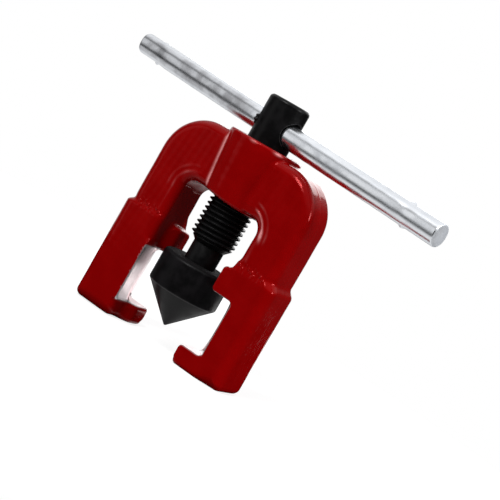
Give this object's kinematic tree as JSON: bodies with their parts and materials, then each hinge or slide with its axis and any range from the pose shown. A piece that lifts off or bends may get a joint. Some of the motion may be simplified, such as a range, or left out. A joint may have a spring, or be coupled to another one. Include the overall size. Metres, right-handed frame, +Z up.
{
  "type": "flaring tool yoke",
  "caption": "Red screw-press yoke with hooked legs, a black feed screw ending in a swivelling cone, and a sliding steel cross bar",
  "frame": {"origin": "on the feed screw's axis, level with the soles of the legs, in the middle of the yoke's mouth", "axes": "+Z up along the feed screw, away from the cone; +X to the right along the yoke's width; -Y to the front"},
  "size_m": [0.1244, 0.0256, 0.08],
  "materials": {
    "red_paint": "glossy red enamel over a cast iron body",
    "black_oxide_screw": "black oxide, turned",
    "black_oxide_cone": "black oxide, ground face",
    "bearing_steel": "polished",
    "spring_steel": "drawn wire",
    "plated_steel": "bright zinc plate"
  },
  "bodies": {
    "yoke": {"yoke": "red_paint"},
    "thrust_pair": {"thrust_ball": "bearing_steel", "retaining_ring": "spring_steel"},
    "feed_screw": {"feed_screw": "black_oxide_screw"},
    "flaring_cone": {"flaring_cone": "black_oxide_cone"},
    "t_bar": {"t_bar": "plated_steel"}
  },
  "joints": [
    {"name": "screw_feed", "type": "slide", "parent": "yoke", "child": "thrust_pair", "axis": [0, 0, 1], "range_m": [0, 0.018]},
    {"name": "screw_turn", "type": "hinge", "parent": "thrust_pair", "child": "feed_screw", "pos_m": [0, 0, 0], "axis": [0, 0, 1], "range_deg": [0, 4319]},
    {"name": "cone_swivel", "type": "hinge", "parent": "thrust_pair", "child": "flaring_cone", "pos_m": [0, 0, 0], "axis": [0, 0, 1], "continuous": true},
    {"name": "t_bar_slide", "type": "slide", "parent": "feed_screw", "child": "t_bar", "axis": [0.9875, -0.1511, -0.0437], "range_m": [-0.045, 0.045]}
  ],
  "couplings": [
    {"joint": "screw_feed", "follows": "screw_turn", "m_per_rad": 0.00023873}
  ]
}
